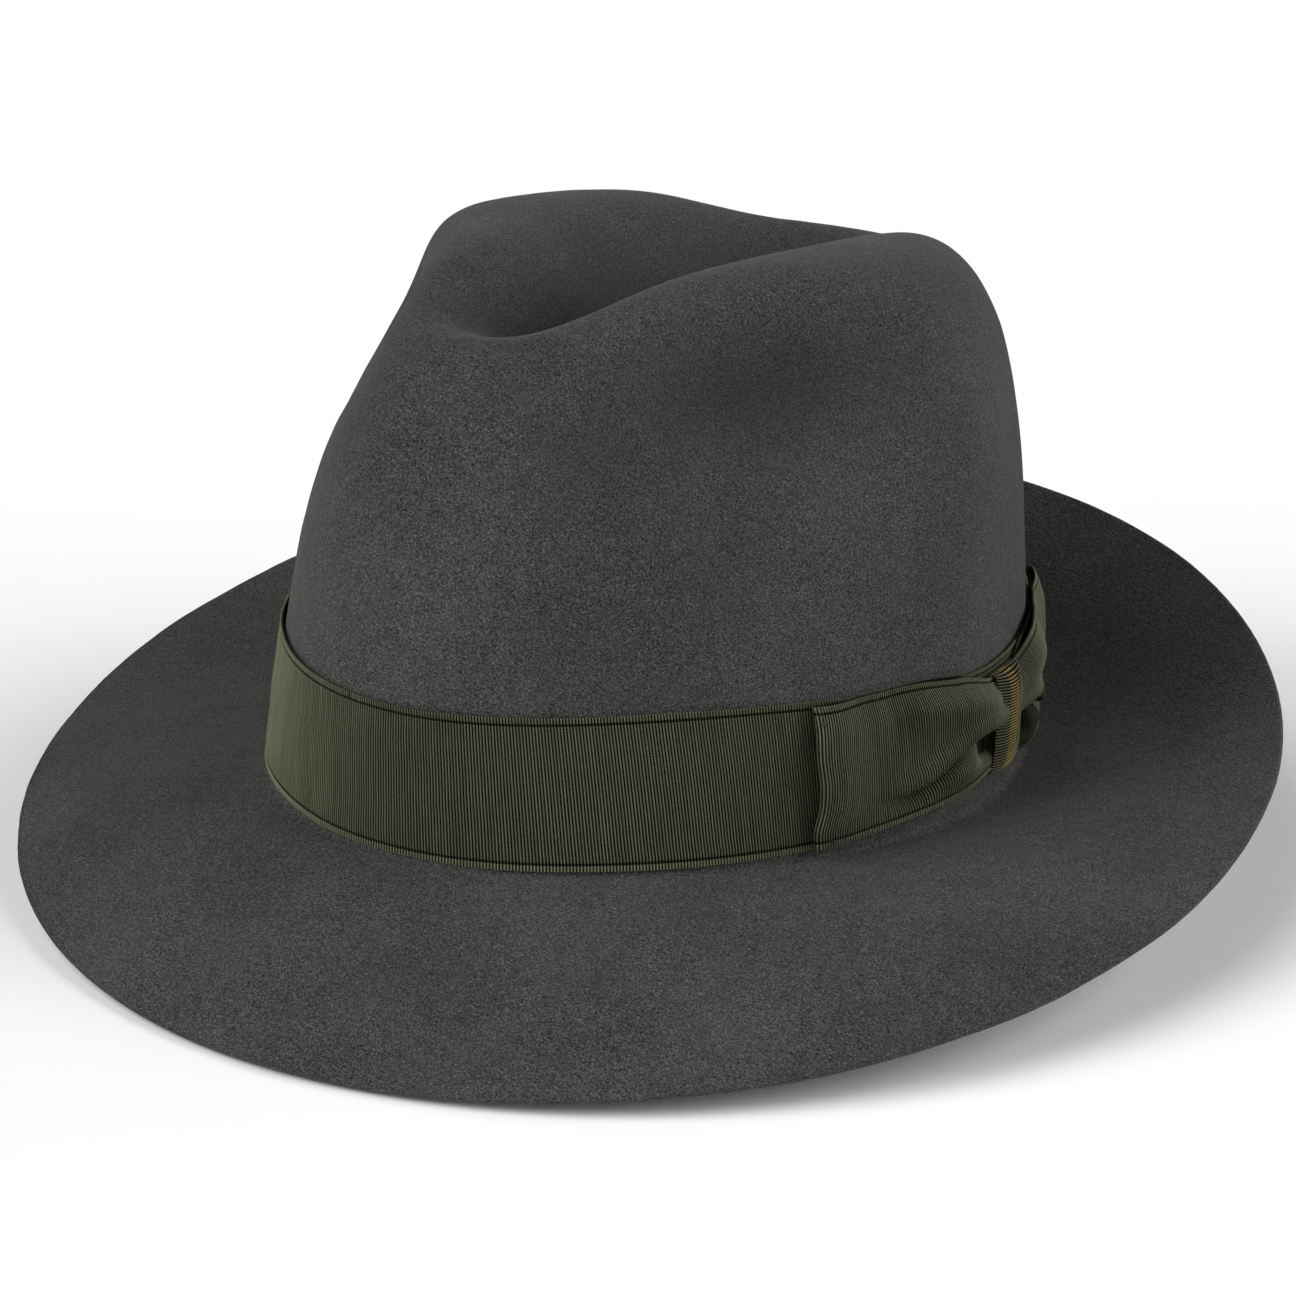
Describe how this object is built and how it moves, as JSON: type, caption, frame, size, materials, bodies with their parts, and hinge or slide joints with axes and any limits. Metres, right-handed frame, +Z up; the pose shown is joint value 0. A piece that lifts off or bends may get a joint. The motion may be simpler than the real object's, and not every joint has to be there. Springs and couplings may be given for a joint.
{
  "type": "fedora hat",
  "caption": "Felt fedora with a pinched, centre-creased crown, a snapped brim, a ribbed ribbon band with a flat side bow, and a leather sweatband inside.",
  "frame": {"origin": "centre of the head opening, on the plane of the brim break", "axes": "+Z up through the crown, front of the hat towards -Y, wearer's left (the bow side) towards +X"},
  "size_m": [0.3076, 0.313, 0.1535],
  "materials": {
    "felt": "brushed fur felt, matt",
    "ribbon": "ribbed grosgrain, low sheen",
    "knot": "ribbed grosgrain with a woven gold stripe",
    "thread": "waxed thread",
    "sweat_leather": "smooth leather, satin",
    "small_ribbon": "ribbed ribbon",
    "reed": "matt",
    "tape": "woven tape",
    "lining": "satin",
    "piping": "corded piping"
  },
  "bodies": {
    "root": {"felt_body": "felt", "hat_band": "ribbon", "bow_front_loop": "ribbon", "bow_back_loop": "ribbon", "bow_knot": "knot", "bow_tacks": "thread", "band_tacks": "thread", "sweatband": "sweat_leather", "sweatband_seam": "sweat_leather", "sweatband_bow": "small_ribbon", "sweatband_stitches": "thread", "sweatband_reed": "reed", "reed_tape": "tape", "lining_side": "lining", "lining_tip": "lining", "lining_piping": "piping"}
  },
  "joints": []
}
